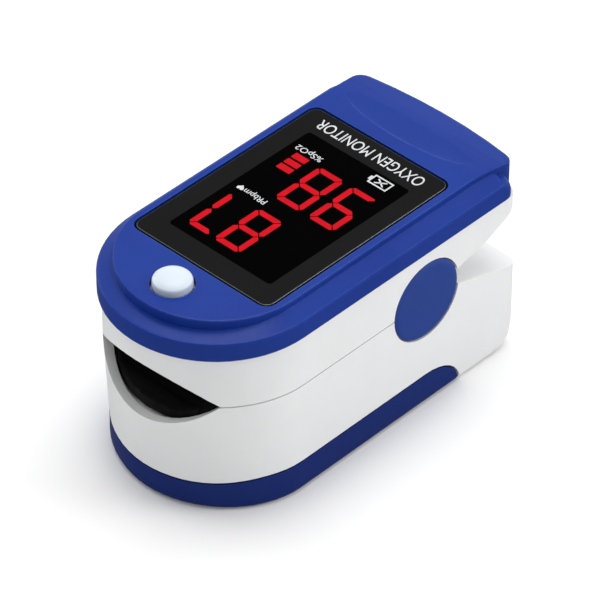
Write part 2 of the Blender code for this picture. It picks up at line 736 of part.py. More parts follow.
def batteries(label):
    """Two AAA cells side by side, head to tail."""
    made = []
    nub_radius, nub_length = CELL_NUB
    edge = 0.4
    half = CELL_LENGTH / 2
    profile = [(0.0, half + nub_length), (nub_radius, half + nub_length), (nub_radius, half)]
    profile += [(CELL_RADIUS - edge, half), (CELL_RADIUS, half - edge), (CELL_RADIUS, edge - half)]
    profile += [(CELL_RADIUS - edge, -half), (0.0, -half)]
    for side, tag, middle in ((-1, "left", 3.75), (1, "right", 1.75)):
        place = (side * CELL_X, middle, CELL_Z)
        made.append(turned("battery_" + tag, profile, place, label, (0, -side, 0), 24))
    return made


def contacts(metal):
    """Battery contacts: a bridge and a spring in front, and two tabs and a spring behind."""
    front = BAY_Y[0] + 0.1
    rear = BAY_Y[1] - 0.1
    made = [
        box("contact_bridge", (-9.5, front, 3.0), (9.5, front + 0.4, 10.2), metal),
        box("contact_tab_left", (-9.2, rear - 0.4, 3.0), (-1.7, rear, 10.2), metal),
        box("contact_tab_right", (1.7, rear - 0.4, 3.0), (9.2, rear, 10.2), metal),
        wire("contact_spring_left", cone_points(-CELL_X, front + 0.8, -18.3), 0.2, metal),
        wire("contact_spring_right", cone_points(CELL_X, rear - 0.8, 23.8), 0.2, metal),
    ]
    return made


def cone_points(x, wide_y, narrow_y):
    """Route of a conical spring from its wide end to its narrow end."""
    turns = 3
    steps = 8 * turns
    points = []
    for step in range(steps + 1):
        share = step / steps
        radius = 2.7 - 1.3 * share
        angle = 2 * math.pi * turns * share
        y = wide_y + (narrow_y - wide_y) * share
        points.append((x + radius * math.cos(angle), y, CELL_Z + radius * math.sin(angle)))
    return points


def flex_cable(film):
    """Flat cable from the detector, past the hinge, to the main board."""
    route = [(-7.1, 13.6), (5.6, 13.6), (6.6, 14.0), (7.2, 14.9), (7.35, 16.5), (7.35, 26.0)]
    half_width = 2.5
    mesh = bpy.data.meshes.new("flex_cable")
    shape = bmesh.new()
    rows = [[shape.verts.new(Vector((x, y, z)) * MM) for x in (-half_width, half_width)] for y, z in route]
    for first, second in zip(rows, rows[1:]):
        shape.faces.new((first[0], first[1], second[1], second[0]))
    shape.to_mesh(mesh)
    shape.free()
    cable = add_object("flex_cable", mesh, film)
    thickness = cable.modifiers.new("Thickness", "SOLIDIFY")
    thickness.thickness = 0.2 * MM
    thickness.offset = 0.0
    return cable


def cover_screws(steel):
    """Two screws that hold the top cover to the upper shell, with slotted heads."""
    made = []
    for side, tag in ((-1, "left"), (1, "right")):
        profile = [(0.0, 28.9), (0.5, 28.9), (0.8, 28.5), (0.8, 23.3)]
        profile += [(1.7, 23.3), (1.7, 22.5), (1.5, 22.3), (0.0, 22.3)]
        screw = turned("cover_screw_" + tag, profile, (side * SCREW_X, SCREW_Y, 0.0), steel, steps=24)
        low = (side * SCREW_X - 2.0, SCREW_Y - 0.2, 21.0)
        high = (side * SCREW_X + 2.0, SCREW_Y + 0.2, 22.7)
        cut(screw, box("screw_slot_" + tag, low, high))
        made.append(screw)
    return made


def centre_length():
    """Slide everything along so that the frame's origin is at mid-length."""
    for thing in bpy.data.objects:
        thing.location.y += FRAME_Y * MM


def carry(name, place, things):
    """Parent a moving group to an empty on its joint's axis."""
    axis = bpy.data.objects.new(name, None)
    bpy.data.collections["pulse_oximeter"].objects.link(axis)
    axis.location = Vector(place) * MM
    bpy.context.view_layer.update()
    for thing in things:
        thing.parent = axis
        thing.matrix_parent_inverse = axis.matrix_world.inverted()


def build():
    """Make every piece and hang the moving ones on their axes."""
    start_scene()
    white = material("white_abs", (0.76, 0.77, 0.78), 0.38)
    blue = material("blue_abs", (0.032, 0.066, 0.36), 0.36)
    navy = material("blue_abs_cover", (0.022, 0.05, 0.26), 0.38)
    cap_blue = material("blue_abs_cap", (0.035, 0.075, 0.33), 0.42)
    button_white = material("button_abs", (0.78, 0.84, 0.9), 0.35)
    window_black = material("smoked_acrylic", (0.004, 0.004, 0.004), 0.06)
    module_black = material("display_epoxy", (0.02, 0.02, 0.02), 0.5)
    rubber = material("black_silicone", (0.008, 0.008, 0.008), 0.7)
    board_green = material("board_green", (0.01, 0.12, 0.04), 0.4)
    chip_black = material("chip_black", (0.015, 0.015, 0.015), 0.45)
    led_white = material("led_white", (0.8, 0.78, 0.68), 0.3)
    clear = material("clear_window", (0.35, 0.05, 0.04), 0.08)
    steel = material("spring_steel", (0.55, 0.55, 0.56), 0.25, 1.0)
    nickel = material("nickel_contact", (0.62, 0.6, 0.56), 0.3, 1.0)
    label = material("battery_label", (0.05, 0.09, 0.14), 0.35)
    film = material("polyimide_film", (0.45, 0.2, 0.03), 0.35)

    channel = finger_channel()
    lower_shell(white, channel)
    cover = battery_cover(navy)
    lower_pad, upper_pad = pads(rubber, channel)
    lower_sensor, upper_sensor = sensor(board_green, chip_black, led_white, clear)
    hinge(steel, cap_blue)
    batteries(label)
    contacts(nickel)
    flex_cable(film)

    upper = [upper_shell(white, channel), top_cover(blue), upper_pad, *upper_sensor]
    upper += display(window_black, module_black)
    upper += main_board(board_green, chip_black, nickel)
    upper += cover_screws(steel)
    button = power_button(button_white)
    plunger = switch_plunger(chip_black)
    centre_length()
    carry("upper_half_axis", (0, HINGE_Y + FRAME_Y, HINGE_Z), [*upper, button, plunger])
    carry("battery_cover_slide", (0, 0, 0), [cover])


build()
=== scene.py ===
"""Looks of the fingertip pulse oximeter: fine surfaces, soft pads, display, materials and studio."""

import json
import math

import bmesh
import bpy
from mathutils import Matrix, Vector

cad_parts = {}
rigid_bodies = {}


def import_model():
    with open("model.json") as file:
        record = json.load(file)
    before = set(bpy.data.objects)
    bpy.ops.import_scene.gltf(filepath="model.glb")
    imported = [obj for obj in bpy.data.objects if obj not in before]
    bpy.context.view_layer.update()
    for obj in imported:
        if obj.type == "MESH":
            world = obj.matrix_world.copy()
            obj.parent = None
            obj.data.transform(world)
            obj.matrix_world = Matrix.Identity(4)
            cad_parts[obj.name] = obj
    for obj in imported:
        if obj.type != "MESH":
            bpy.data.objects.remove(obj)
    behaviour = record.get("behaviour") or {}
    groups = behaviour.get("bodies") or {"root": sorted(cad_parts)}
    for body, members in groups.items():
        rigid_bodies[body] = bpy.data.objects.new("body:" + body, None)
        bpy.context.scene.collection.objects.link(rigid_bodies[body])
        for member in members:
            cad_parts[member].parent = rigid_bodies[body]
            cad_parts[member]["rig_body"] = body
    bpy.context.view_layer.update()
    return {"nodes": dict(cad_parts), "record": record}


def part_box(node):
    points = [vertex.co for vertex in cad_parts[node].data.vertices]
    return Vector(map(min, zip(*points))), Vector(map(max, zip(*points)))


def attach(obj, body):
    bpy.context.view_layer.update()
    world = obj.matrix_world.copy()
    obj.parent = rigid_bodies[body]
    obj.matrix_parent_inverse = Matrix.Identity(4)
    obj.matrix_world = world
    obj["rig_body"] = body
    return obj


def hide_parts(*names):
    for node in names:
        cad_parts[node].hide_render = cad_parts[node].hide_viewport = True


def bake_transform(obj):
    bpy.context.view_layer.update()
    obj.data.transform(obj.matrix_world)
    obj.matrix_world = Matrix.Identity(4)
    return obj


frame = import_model()

MM = 0.001

# Studio: the camera's place round the device, in degrees and metres. Azimuth 0 looks along +Y.
CAMERA_AZIMUTH = 43.79
CAMERA_ELEVATION = 40.01
CAMERA_DISTANCE = 0.6165
CAMERA_TARGET = (0.0, -0.0012, 0.0167)
CAMERA_LENS = 278.0
CAMERA_SHIFT = (0.0248, -0.0064)

# Soft boxes: name, place, side in metres and power in watts. They all face LIGHT_AIM.
SOFT_BOXES = (
    ("overhead", (-0.1, 0.15, 0.9), 0.7, 4.6),
    ("left", (-0.7, -0.1, 0.25), 0.4, 1.5),
    ("right", (0.6, 0.5, 0.48), 0.35, 2.2),
)
LIGHT_AIM = (0.0, 0.0, 0.015)

# Dome: it brightens over SKY_RISE of the way up, between SKY_LEVELS, and from the front to the back
SKY_RISE = (-0.5, -0.2)
SKY_LEVELS = (0.12, 0.6)
SKY_FRONT_TO_BACK = (0.72, 1.2)

FLOOR_SIDE = 6.0
FLOOR_TONE = 0.95

# Fine surfaces. Angles are in degrees: faces closer than FLAT_ANGLE become one, and edges over
# CASE_SHARP, or FLEXED_SHARP on the parts that flex, stay sharp. Weld distances are in millimetres.
FLAT_ANGLE = 0.4
CASE_SHARP = 30.0
FLEXED_SHARP = 40.0
WELD = 0.002
LETTER_WELD = 0.0005

# The window's chamfer is the faces whose normal rises between these shares of upright. They take a lighter
# grey than the acrylic, a painted highlight, on top of strong real gloss.
CHAMFER_TILT = (0.2, 0.97)

# Rounding of the case pieces' edges, in millimetres
EDGE_RADII = {
    "top_cover": 0.12,
    "upper_shell": 0.1,
    "lower_shell": 0.1,
    "battery_cover": 0.1,
    "power_button": 0.08,
    "hinge_cap_left": 0.06,
    "hinge_cap_right": 0.06,
}

# Display, in millimetres from the window's centre. The reader's right is -X and the reader's up is -Y.
# A box is its left, right, top and bottom as the reader sees it, and a digit comes before its box.
DISPLAY_SHIFT = (0.12, -0.13)
STROKE = 0.9
STROKE_GAP = 0.1
STROKE_CUT = 0.6
DIGITS = (
    ("8", 1.9, -2.65, -12.05, -3.5),
    ("7", -3.3, -7.5, -12.05, -3.5),
    ("9", 7.65, 3.1, -0.4, 8.35),
    ("8", 1.7, -2.9, -0.4, 8.35),
)
LIT = {"7": "abc", "8": "abcdefg", "9": "abcdfg"}
BARS = ((4.4, 5.5), (5.85, 6.9), (7.3, 8.45))
BAR_SIDES = (-4.8, -7.2)
BAR_CORNER = 0.08
FIELD_BOX = (9.15, -9.15, -13.7, 12.9)
FIELD_CORNER = 0.5
HEART_BOX = (-6.85, -7.95, -2.6, -1.4)
CELL_BOX = (6.9, 3.3, 10.45, 12.35)
CELL_LINE = 0.22
CELL_NOSE = 0.35
CELL_TERMINAL = 0.8
CELL_CROSS = (0.75, 0.5)
LABELS = (
    ("rate_label", "PRbpm", (-2.8, -6.7, -2.6, -1.3)),
    ("oxygen_label", "%SpO2", (-3.6, -8.2, 8.95, 10.3)),
    ("border_title", "OXYGEN MONITOR", (9.3, -9.5, 14.15, 16.15)),
)
PRINT_GAP = 0.012
PRINT_HEIGHT = 0.03

# Heights in millimetres at which the flex cable, which crosses the mouth hinge, is split.
CABLE_CUTS = (17.25, 18.0, 18.75, 19.5, 20.25, 21.0, 21.75, 22.5, 23.25, 24.0)

# Soft pads, in millimetres
PAD_VOXEL = 0.4
RIB_PITCH = 2.4
RIB_DEPTH = 0.16
RIB_FADE = 3.0
RIB_FACING = 0.3


# --- materials ---------------------------------------------------------------------------------


def node_material(name):
    """An empty node material with a Principled shader."""
    made = bpy.data.materials.new(name)
    made.use_nodes = True
    return made, made.node_tree, made.node_tree.nodes["Principled BSDF"]


def add_node(tree, kind, **values):
    """A shader node with its input sockets set by name."""
    made = tree.nodes.new(kind)
    for socket, value in values.items():
        made.inputs[socket.replace("_", " ")].default_value = value
    return made


def mix_colours(tree, factor, first, second):
    """A colour that runs from first to second as the factor socket goes from 0 to 1."""
    mix = tree.nodes.new("ShaderNodeMix")
    mix.data_type = "RGBA"
    tree.links.new(factor, mix.inputs["Factor"])
    for socket, value in ((mix.inputs["A"], first), (mix.inputs["B"], second)):
        if isinstance(value, tuple):
            socket.default_value = (*value, 1.0)
        else:
            tree.links.new(value, socket)
    return mix.outputs["Result"]


def spread(tree, value, low, high, to_low, to_high):
    """A socket's value, with the range from low to high mapped onto another one and clamped to it."""
    made = tree.nodes.new("ShaderNodeMapRange")
    made.inputs["From Min"].default_value = low
    made.inputs["From Max"].default_value = high
    made.inputs["To Min"].default_value = to_low
    made.inputs["To Max"].default_value = to_high
    tree.links.new(value, made.inputs["Value"])
    return made.outputs["Result"]


def noise(tree, scale, detail=3.0, roughness=0.55, stretch=None):
    """Noise over the piece's own coordinates, in features per metre, stretched along an axis if asked."""
    place = tree.nodes.new("ShaderNodeTexCoord").outputs["Object"]
    if stretch:
        mapping = add_node(tree, "ShaderNodeMapping", Scale=stretch)
        tree.links.new(place, mapping.inputs["Vector"])
        place = mapping.outputs["Vector"]
    made = add_node(tree, "ShaderNodeTexNoise", Scale=scale, Detail=detail, Roughness=roughness)
    tree.links.new(place, made.inputs["Vector"])
    return made.outputs["Fac"]


def edge_nearness(tree, radius):
    """How near a corner or an edge a point is, from 0 on flat faces to 1 on the edge itself."""
    rounded = add_node(tree, "ShaderNodeBevel", Radius=radius)
    rounded.samples = 4
    flat = tree.nodes.new("ShaderNodeNewGeometry").outputs["Normal"]
    agree = tree.nodes.new("ShaderNodeVectorMath")
    agree.operation = "DOT_PRODUCT"
    tree.links.new(rounded.outputs["Normal"], agree.inputs[0])
    tree.links.new(flat, agree.inputs[1])
    return spread(tree, agree.outputs["Value"], 1.0, 0.86, 0.0, 1.0)


def bumpy(tree, shader, height, strength, distance):
    """Fine relief on the shader from a height socket."""
    bump = add_node(tree, "ShaderNodeBump", Strength=strength, Distance=distance)
    tree.links.new(height, bump.inputs["Height"])
    tree.links.new(bump.outputs["Normal"], shader.inputs["Normal"])


def moulded(
    name, colour, shade, roughness, specular, grain=0.05, grain_scale=7000.0, edge_highlight=None, reach=0.00012
):
    """Moulded plastic: a faint drift of colour, uneven gloss and mould grain.

    Where an edge colour is given, the edges lighten to it over the reach, in metres, in patches: a painted
    highlight.
    """
    made, tree, shader = node_material(name)
    tone = spread(tree, noise(tree, 90.0), 0.35, 0.65, 0.0, 1.0)
    body = mix_colours(tree, tone, colour, shade)
    rough = spread(tree, noise(tree, 420.0, 4.0, 0.6), 0.3, 0.7, roughness - 0.04, roughness + 0.05)
    if edge_highlight:
        patchy = spread(tree, noise(tree, 900.0, 4.0, 0.65), 0.38, 0.62, 0.25, 1.0)
        edge = tree.nodes.new("ShaderNodeMath")
        edge.operation = "MULTIPLY"
        tree.links.new(edge_nearness(tree, reach), edge.inputs[0])
        tree.links.new(patchy, edge.inputs[1])
        # Painted highlight: edges and corners lighten towards the edge colour, in patches.
        body = mix_colours(tree, edge.outputs["Value"], body, edge_highlight)
    tree.links.new(body, shader.inputs["Base Color"])
    tree.links.new(rough, shader.inputs["Roughness"])
    bumpy(tree, shader, noise(tree, grain_scale, 2.0, 0.5), grain, 0.00003)
    shader.inputs["Specular IOR Level"].default_value = specular
    return made


def metal(name, colour, tarnish, roughness, stretch):
    """Drawn or plated metal: tarnish in patches and fine scratches along the stretch."""
    made, tree, shader = node_material(name)
    patches = spread(tree, noise(tree, 500.0, 5.0, 0.6), 0.4, 0.7, 0.0, 1.0)
    tree.links.new(mix_colours(tree, patches, colour, tarnish), shader.inputs["Base Color"])
    lines = noise(tree, 2600.0, 3.0, 0.6, stretch)
    gloss = spread(tree, lines, 0.3, 0.7, roughness - 0.08, roughness + 0.12)
    tree.links.new(gloss, shader.inputs["Roughness"])
    bumpy(tree, shader, lines, 0.12, 0.00002)
    shader.inputs["Metallic"].default_value = 1.0
    return made


def wrapped_cell(name):
    """Battery wrap: a dark sleeve with a warm band at one end and tiny creases in the film."""
    made, tree, shader = node_material(name)
    place = tree.nodes.new("ShaderNodeTexCoord").outputs["Object"]
    along = tree.nodes.new("ShaderNodeSeparateXYZ")
    tree.links.new(place, along.inputs["Vector"])
    band = spread(tree, along.outputs["Y"], 0.0128, 0.013, 0.0, 1.0)
    tone = spread(tree, noise(tree, 300.0), 0.3, 0.7, 0.0, 1.0)
    film = mix_colours(tree, tone, (0.012, 0.014, 0.018), (0.02, 0.022, 0.027))
    tree.links.new(mix_colours(tree, band, film, (0.42, 0.2, 0.06)), shader.inputs["Base Color"])
    creases = noise(tree, 1400.0, 4.0, 0.6, (1.0, 0.25, 1.0))
    tree.links.new(spread(tree, creases, 0.3, 0.7, 0.24, 0.4), shader.inputs["Roughness"])
    bumpy(tree, shader, creases, 0.15, 0.00003)
    return made


def circuit_board(name):
    """Solder mask: a mesh of tracks that stand slightly proud and read a little lighter."""
    made, tree, shader = node_material(name)
    place = tree.nodes.new("ShaderNodeTexCoord").outputs["Object"]
    tracks = add_node(tree, "ShaderNodeTexVoronoi", Scale=900.0, Randomness=0.85)
    tracks.distance = "CHEBYCHEV"
    tracks.feature = "F1"
    tree.links.new(place, tracks.inputs["Vector"])
    raised = spread(tree, tracks.outputs["Distance"], 0.28, 0.34, 0.0, 1.0)
    mask = mix_colours(tree, raised, (0.006, 0.07, 0.03), (0.012, 0.13, 0.05))
    tree.links.new(mask, shader.inputs["Base Color"])
    tree.links.new(spread(tree, noise(tree, 800.0), 0.3, 0.7, 0.28, 0.42), shader.inputs["Roughness"])
    bumpy(tree, shader, raised, 0.3, 0.00003)
    return made


def ribbon(name):
    """Polyimide film with copper tracks that run along it under the amber skin."""
    made, tree, shader = node_material(name)
    place = tree.nodes.new("ShaderNodeTexCoord").outputs["Object"]
    lines = add_node(tree, "ShaderNodeTexWave", Scale=420.0, Distortion=0.0)
    lines.bands_direction = "X"
    tree.links.new(place, lines.inputs["Vector"])
    track = spread(tree, lines.outputs["Fac"], 0.45, 0.6, 0.0, 1.0)
    amber = mix_colours(tree, track, (0.24, 0.075, 0.012), (0.46, 0.19, 0.05))
    tree.links.new(amber, shader.inputs["Base Color"])
    tree.links.new(spread(tree, noise(tree, 700.0), 0.3, 0.7, 0.26, 0.38), shader.inputs["Roughness"])
    bumpy(tree, shader, track, 0.2, 0.00002)
    return made


def clear_lens(name):
    """Clear moulded window, faintly warm, with flow marks in the gloss."""
    made, tree, shader = node_material(name)
    tone = spread(tree, noise(tree, 400.0), 0.3, 0.7, 0.0, 1.0)
    tint = mix_colours(tree, tone, (0.9, 0.88, 0.84), (0.82, 0.8, 0.76))
    tree.links.new(tint, shader.inputs["Base Color"])
    tree.links.new(spread(tree, noise(tree, 900.0), 0.3, 0.7, 0.05, 0.14), shader.inputs["Roughness"])
    bumpy(tree, shader, noise(tree, 1500.0), 0.04, 0.00002)
    shader.inputs["Transmission Weight"].default_value = 0.85
    return made


def glowing(name, colour, power):
    """A lit or printed mark that emits its colour, which on a printed mark is painted light: its tone is
    uneven at the scale of the display's dots.
    """
    made, tree, shader = node_material(name)
    dots = spread(tree, noise(tree, 900.0, 2.0, 0.5), 0.35, 0.65, 0.0, 1.0)
    tone = mix_colours(tree, dots, colour, tuple(part * 0.86 for part in colour))
    tree.links.new(tone, shader.inputs["Base Color"])
    tree.links.new(tone, shader.inputs["Emission Color"])
    shader.inputs["Emission Strength"].default_value = power
    tree.links.new(spread(tree, dots, 0.0, 1.0, 0.4, 0.5), shader.inputs["Roughness"])
    bumpy(tree, shader, dots, 0.03, 0.00001)
    shader.inputs["Specular IOR Level"].default_value = 0.05
    return made


# --- pieces ------------------------------------------------------------------------------------


def body_of(node):
    """The CAD body that a node belongs to."""
    return frame["nodes"][node]["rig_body"]


def piece_from(mesh, name, finish, node, replaces=False):
    """An object for a mesh, which rides with a CAD node and stands for it if asked."""
    mesh.materials.clear()
    mesh.materials.append(finish)
    piece = bpy.data.objects.new(name, mesh)
    bpy.context.scene.collection.objects.link(piece)
    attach(piece, body_of(node))
    if replaces:
        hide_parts(node)
    return piece


def refined(node, edge, finish):
    """A fine copy of a CAD node, which stands for it: whole faces, rounded edges and smooth shading."""
    shape = bmesh.new()
    shape.from_mesh(frame["nodes"][node].data)
    bmesh.ops.remove_doubles(shape, verts=shape.verts, dist=WELD * MM)
    bmesh.ops.dissolve_limit(
        shape,
        angle_limit=math.radians(FLAT_ANGLE),
        verts=shape.verts,
        edges=shape.edges,
        use_dissolve_boundaries=False,
    )
    corners = [line for line in shape.edges if len(line.link_faces) == 2]
    sharp = math.radians(CASE_SHARP)
    corners = [line for line in corners if abs(line.calc_face_angle_signed(0.0)) > sharp]
    if edge > 0.0:
        bmesh.ops.bevel(
            shape,
            geom=corners,
            offset=edge * MM,
            segments=3,
            profile=0.5,
            affect="EDGES",
            clamp_overlap=True,
        )
    mesh = bpy.data.meshes.new(node + "_surface")
    shape.to_mesh(mesh)
    shape.free()
    mesh.shade_smooth()
    mesh.set_sharp_from_angle(angle=math.radians(CASE_SHARP))
    piece = piece_from(mesh, node + "_surface", finish, node, replaces=True)
    weighted = piece.modifiers.new("Even shading", "WEIGHTED_NORMAL")
    weighted.keep_sharp = True
    return piece


def flexed(node, finish, cuts=()):
    """A copy of a CAD node. It stands for the node.

    The cuts are heights at which long straight faces are split.
    """
    shape = bmesh.new()
    shape.from_mesh(frame["nodes"][node].data)
    bmesh.ops.remove_doubles(shape, verts=shape.verts, dist=WELD * MM)
    for height in cuts:
        everything = shape.verts[:] + shape.edges[:] + shape.faces[:]
        level = (0.0, 0.0, height * MM)
        bmesh.ops.bisect_plane(shape, geom=everything, plane_co=level, plane_no=(0.0, 0.0, 1.0))
    mesh = bpy.data.meshes.new(node + "_flexed")
    shape.to_mesh(mesh)
    shape.free()
    mesh.materials.clear()
    mesh.materials.append(finish)
    mesh.shade_smooth()
    mesh.set_sharp_from_angle(angle=math.radians(FLEXED_SHARP))
    piece = bpy.data.objects.new(node + "_flexed", mesh)
    bpy.context.scene.collection.objects.link(piece)
    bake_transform(piece)
    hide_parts(node)


def baked(source):
    """The mesh of an object with its modifiers applied."""
    graph = bpy.context.evaluated_depsgraph_get()
    return bpy.data.meshes.new_from_object(source.evaluated_get(graph))


def soft_pad(node, finish, side):
    """A finger pad as soft silicone: rounded all over, with shallow grip ribs across its groove.

    side is 1 for the lower pad, whose groove faces up, and -1 for the upper one.
    """
    low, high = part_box(node)
    source = bpy.data.objects.new(node + "_source", frame["nodes"][node].data.copy())
    bpy.context.scene.collection.objects.link(source)
    grid = source.modifiers.new("Even skin", "REMESH")
    grid.mode = "VOXEL"
    grid.voxel_size = PAD_VOXEL * MM
    soft = source.modifiers.new("Soft edges", "SMOOTH")
    soft.factor = 0.5
    soft.iterations = 5
    mesh = baked(source)
    bpy.data.objects.remove(source)
    half = (high[0] - low[0]) / 2
    for vertex in mesh.vertices:
        facing = vertex.normal.z * side
        if facing > RIB_FACING:
            across = min(1.0, abs(vertex.co.x) / half)
            from_end = min(vertex.co.y - low[1], high[1] - vertex.co.y)
            fade = min(1.0, max(0.0, from_end / (RIB_FADE * MM))) * (1.0 - across**4)
            wave = 0.5 - 0.5 * math.cos(2 * math.pi * (vertex.co.y - low[1]) / (RIB_PITCH * MM))
            vertex.co -= vertex.normal * RIB_DEPTH * MM * fade * wave**3
    mesh.shade_smooth()
    piece = piece_from(mesh, node + "_soft", finish, node, replaces=True)
    skin = piece.modifiers.new("Skin", "SUBSURF")
    skin.levels = 1
    skin.render_levels = 1


def paint(node, finish):
    """Give a CAD node its finish."""
    slots = frame["nodes"][node].data.materials
    slots.clear()
    slots.append(finish)


# --- display -----------------------------------------------------------------------------------


def reader_point(across, down):
    """A point of the window's top face, from millimetres off its centre."""
    low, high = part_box("display_window")
    centre_x = (low[0] + high[0]) / 2 + DISPLAY_SHIFT[0] * MM
    centre_y = (low[1] + high[1]) / 2 + DISPLAY_SHIFT[1] * MM
    return Vector((centre_x + across * MM, centre_y + down * MM, high[2]))


def marks(name, outlines, finish, lift=0.0):
    """Flat marks on the window, each a closed sliver of a body."""
    shape = bmesh.new()
    for outline in outlines:
        rise = Vector((0.0, 0.0, (PRINT_GAP + lift) * MM))
        ring = [shape.verts.new(reader_point(*point) + rise) for point in outline]
        face = shape.faces.new(ring)
        face.normal_update()
        if face.normal.z > 0:
            face.normal_flip()
        grown = bmesh.ops.extrude_face_region(shape, geom=[face])
        top = [part for part in grown["geom"] if isinstance(part, bmesh.types.BMVert)]
        bmesh.ops.translate(shape, verts=top, vec=(0.0, 0.0, PRINT_HEIGHT * MM))
    bmesh.ops.recalc_face_normals(shape, faces=shape.faces)
    mesh = bpy.data.meshes.new(name)
    shape.to_mesh(mesh)
    shape.free()
    piece_from(mesh, name, finish, "display_module")


def rounded(left, right, top, bottom, corner, steps=6):
    """The outline of a rectangle with round corners."""
    outline = []
    low_x, high_x = sorted((left, right))
    low_y, high_y = sorted((top, bottom))
    for cx, cy, start in (
        (high_x - corner, low_y + corner, 270),
        (high_x - corner, high_y - corner, 0),
        (low_x + corner, high_y - corner, 90),
        (low_x + corner, low_y + corner, 180),
    ):
        for step in range(steps + 1):
            turn = math.radians(start + 90.0 * step / steps)
            outline.append((cx + corner * math.cos(turn), cy + corner * math.sin(turn)))
    return outline


def seven_segments(left, right, top, bottom, lit):
    """The lit strokes of a seven-segment digit, mitred where they meet.

    Strokes are named a to g in the usual way: a on top, then clockwise, and g across the middle.
    """
    wide = left - right
    tall = bottom - top
    mid = tall / 2
    t = STROKE
    g = STROKE_GAP
    near = (STROKE_CUT + g) / 2
    off = (STROKE_CUT - g) / 2
    corner = ((near, off), (STROKE_CUT, 0), (wide - STROKE_CUT, 0), (wide - near, off))
    strokes = {
        "a": (*corner, (wide - t - g, t), (t + g, t)),
        "f": (
            (0, STROKE_CUT),
            (off, near),
            (t, t + g),
            (t, mid - t / 2 - g),
            (t / 2, mid - g),
            (0, mid - t / 2 - g),
        ),
        "g": (
            (t / 2 + g, mid),
            (t + g, mid - t / 2),
            (wide - t - g, mid - t / 2),
            (wide - t / 2 - g, mid),
            (wide - t - g, mid + t / 2),
            (t + g, mid + t / 2),
        ),
    }
    strokes["b"] = tuple((wide - x, y) for x, y in strokes["f"])
    strokes["d"] = tuple((x, tall - y) for x, y in strokes["a"])
    strokes["c"] = tuple((x, tall - y) for x, y in strokes["b"])
    strokes["e"] = tuple((x, tall - y) for x, y in strokes["f"])
    return [[(left - x, top + y) for x, y in strokes[key]] for key in lit]


def heart(left, right, top, bottom, steps=28):
    """A small heart."""
    outline = []
    for step in range(steps):
        turn = 2 * math.pi * step / steps
        across = math.sin(turn) ** 3
        lobes = 13 * math.cos(turn) - 5 * math.cos(2 * turn) - 2 * math.cos(3 * turn) - math.cos(4 * turn)
        down = -lobes / 17
        x = (left + right) / 2 - across * (left - right) / 2
        y = (top + bottom) / 2 + down * (bottom - top) / 2
        outline.append((x, y))
    return outline


def bar_between(first, second, width):
    """The outline of a straight stroke between two points."""
    run = Vector((second[0] - first[0], second[1] - first[1]))
    side = Vector((-run.y, run.x)).normalized() * width / 2
    ends = ((first, 1), (second, 1), (second, -1), (first, -1))
    return [(point[0] + side.x * way, point[1] + side.y * way) for point, way in ends]


def cell_icon(left, right, top, bottom, line):
    """An outlined cell with a crossed face and its terminal at the right."""
    end = right + CELL_NOSE
    middle = (top + bottom) / 2
    outlines = [
        bar_between((left, top + line / 2), (end, top + line / 2), line),
        bar_between((left, bottom - line / 2), (end, bottom - line / 2), line),
        bar_between((left - line / 2, top + line), (left - line / 2, bottom - line), line),
        bar_between((end + line / 2, top + line), (end + line / 2, bottom - line), line),
        bar_between((end, middle), (right, middle), CELL_TERMINAL),
    ]
    centre = (left + end) / 2
    half_x, half_y = CELL_CROSS
    for way in (1, -1):
        first = (centre + half_x, middle - half_y * way)
        second = (centre - half_x, middle + half_y * way)
        outlines.append(bar_between(first, second, line))
    return outlines


def lettering(name, words, box, finish):
    """Plain words that fill a box on the window."""
    left, right, top, bottom = box
    curve = bpy.data.curves.new(name, "FONT")
    curve.body = words
    curve.size = 1.0
    source = bpy.data.objects.new(name + "_source", curve)
    bpy.context.scene.collection.objects.link(source)
    mesh = baked(source)
    bpy.data.objects.remove(source)
    bpy.data.curves.remove(curve)
    xs = [vertex.co.x for vertex in mesh.vertices]
    ys = [vertex.co.y for vertex in mesh.vertices]
    for vertex in mesh.vertices:
        share_x = (vertex.co.x - min(xs)) / (max(xs) - min(xs))
        share_y = (vertex.co.y - min(ys)) / (max(ys) - min(ys))
        place = reader_point(left + (right - left) * share_x, bottom + (top - bottom) * share_y)
        vertex.co = place + Vector((0.0, 0.0, PRINT_GAP * 2 * MM + PRINT_HEIGHT * MM))
    shape = bmesh.new()
    shape.from_mesh(mesh)
    bpy.data.meshes.remove(mesh)
    bmesh.ops.remove_doubles(shape, verts=shape.verts, dist=LETTER_WELD * MM)
    grown = bmesh.ops.extrude_face_region(shape, geom=shape.faces[:])
    top_verts = [part for part in grown["geom"] if isinstance(part, bmesh.types.BMVert)]
    bmesh.ops.translate(shape, verts=top_verts, vec=(0.0, 0.0, PRINT_HEIGHT * MM))
    bmesh.ops.recalc_face_normals(shape, faces=shape.faces)
    made = bpy.data.meshes.new(name)
    shape.to_mesh(made)
    shape.free()
    piece_from(made, name, finish, "display_module")


def display():
    """What the window shows: the dark field, readings, pulse bars, marks, labels and the border's title."""
    dark = moulded(
        "display_black",
        colour=(0.0002, 0.0002, 0.0002),
        shade=(0.0004, 0.0004, 0.0004),
        roughness=0.14,
        specular=0.01,
        grain=0.0,
    )
    red = glowing("display_red", (0.3, 0.0015, 0.006), 1.25)
    # The white marks glow. On the printed border title this glow is painted light.
    pale = glowing("display_white", (0.5, 0.51, 0.52), 0.5)
    marks("display_field", [rounded(*FIELD_BOX, FIELD_CORNER)], dark)
    lift = PRINT_GAP + PRINT_HEIGHT
    for index, (digit, left, right, high, low) in enumerate(DIGITS):
        marks(f"reading_{index}", seven_segments(left, right, high, low, LIT[digit]), red, lift)
    left, right = BAR_SIDES
    marks("pulse_bars", [rounded(left, right, high, low, BAR_CORNER) for high, low in BARS], red, lift)
    marks("heart_mark", [heart(*HEART_BOX)], pale, lift)
    marks("cell_mark", cell_icon(*CELL_BOX, CELL_LINE), pale, lift)
    for name, words, box in LABELS:
        lettering(name, words, box, pale)


# --- studio ------------------------------------------------------------------------------------


